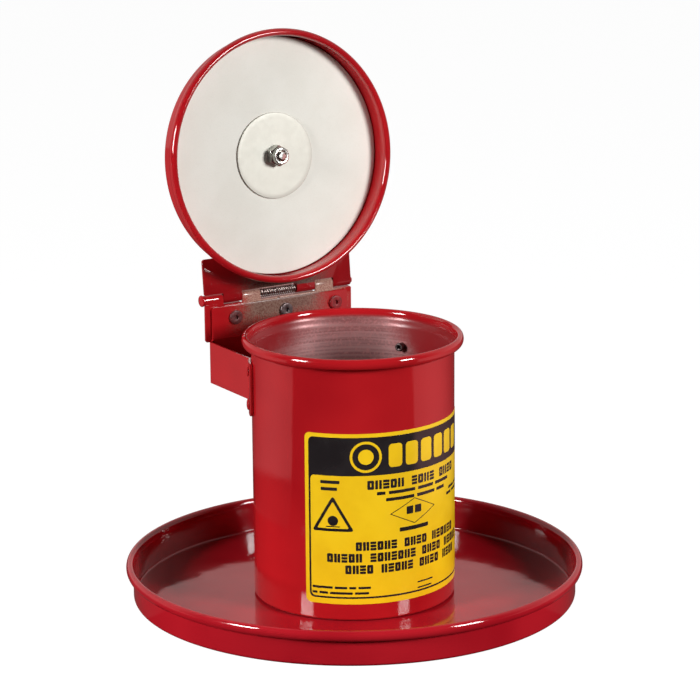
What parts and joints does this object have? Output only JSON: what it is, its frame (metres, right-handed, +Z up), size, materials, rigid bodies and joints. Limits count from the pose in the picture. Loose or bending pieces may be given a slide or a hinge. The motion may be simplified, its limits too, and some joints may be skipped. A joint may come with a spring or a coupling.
{
  "type": "benchtop oily waste can with rinse tray",
  "caption": "Small round red steel safety can with a rolled rim and a hinged, padded lid standing open, in a wide shallow round rinse tray with a rolled edge.",
  "frame": {"origin": "centre of the tray's flat underside, on the surface it stands on", "axes": "+Z up, -Y towards the label (front), +Y towards the hinge (back), X along the hinge pin"},
  "size_m": [0.2658, 0.2658, 0.3203],
  "materials": {
    "red_enamel": "glossy deep red baked enamel on pressed steel",
    "bare_steel": "plain steel, lightly dulled",
    "zinc_plate": "bright zinc plate with a faint green-yellow cast",
    "liner_pad": "matte warm off-white sheet",
    "label_print": "printed yellow, black and white film, slightly glossy"
  },
  "bodies": {
    "tray": {"rinse_tray": "red_enamel"},
    "can": {"can_shell": "red_enamel", "can_base": "red_enamel", "label": "label_print", "hinge_bracket": "red_enamel", "bracket_rivet_1": "bare_steel", "bracket_rivet_2": "bare_steel", "bracket_rivet_3": "bare_steel", "bracket_rivet_4": "bare_steel", "lower_leaf_rivet_1": "bare_steel", "lower_leaf_rivet_2": "bare_steel", "lower_leaf_rivet_3": "bare_steel", "hinge_leaf_lower": "red_enamel", "hinge_pin": "bare_steel", "hinge_spring": "bare_steel"},
    "lid": {"lid_pan": "red_enamel", "lid_liner": "liner_pad", "liner_washer": "zinc_plate", "lid_lock_nut": "zinc_plate", "lid_bolt": "zinc_plate", "lid_outer_washer": "zinc_plate", "hinge_leaf_upper": "red_enamel", "upper_leaf_rivet_1": "bare_steel", "upper_leaf_rivet_2": "bare_steel", "upper_leaf_rivet_3": "bare_steel"}
  },
  "joints": [
    {"name": "can_lift", "type": "slide", "parent": "tray", "child": "can", "axis": [0, 0, 1], "range_m": [0, 0.03]},
    {"name": "lid_hinge", "type": "hinge", "parent": "can", "child": "lid", "pos_m": [0, 0.085, 0.1637], "axis": [1, 0, 0], "range_deg": [0, 96]}
  ]
}
